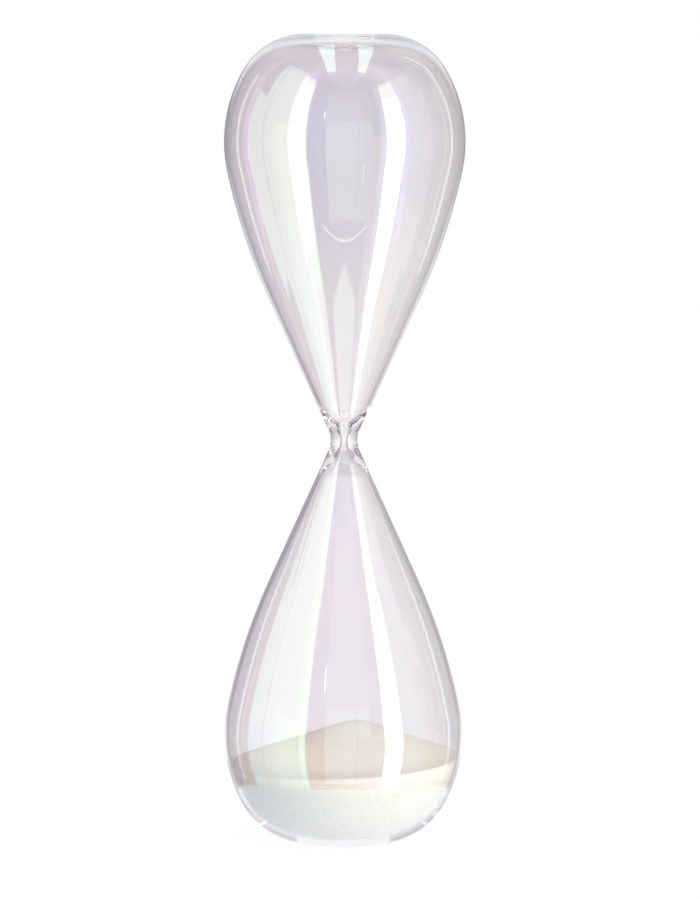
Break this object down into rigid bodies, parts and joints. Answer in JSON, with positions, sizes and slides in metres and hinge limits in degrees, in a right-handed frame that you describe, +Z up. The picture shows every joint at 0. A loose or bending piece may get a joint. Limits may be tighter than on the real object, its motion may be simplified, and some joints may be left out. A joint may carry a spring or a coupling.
{
  "type": "hourglass",
  "caption": "Frameless blown-glass hourglass with pearly iridescent teardrop bulbs, a narrow clear neck, small flat feet and pale sand resting in the lower bulb.",
  "frame": {"origin": "centre of the ring that the lower foot stands on, at table height", "axes": "+Z up along the axis of the glass from the lower foot to the upper foot, +X towards the side where the sand's peak lies"},
  "size_m": [0.089, 0.089, 0.3],
  "materials": {
    "pearl_glass": "gloss",
    "clear_glass": "gloss",
    "sand": "matte"
  },
  "bodies": {
    "root": {"lower_bulb": "pearl_glass", "upper_bulb": "pearl_glass", "neck_throat": "clear_glass", "fill_seal": "clear_glass", "sand_charge": "sand"}
  },
  "joints": []
}
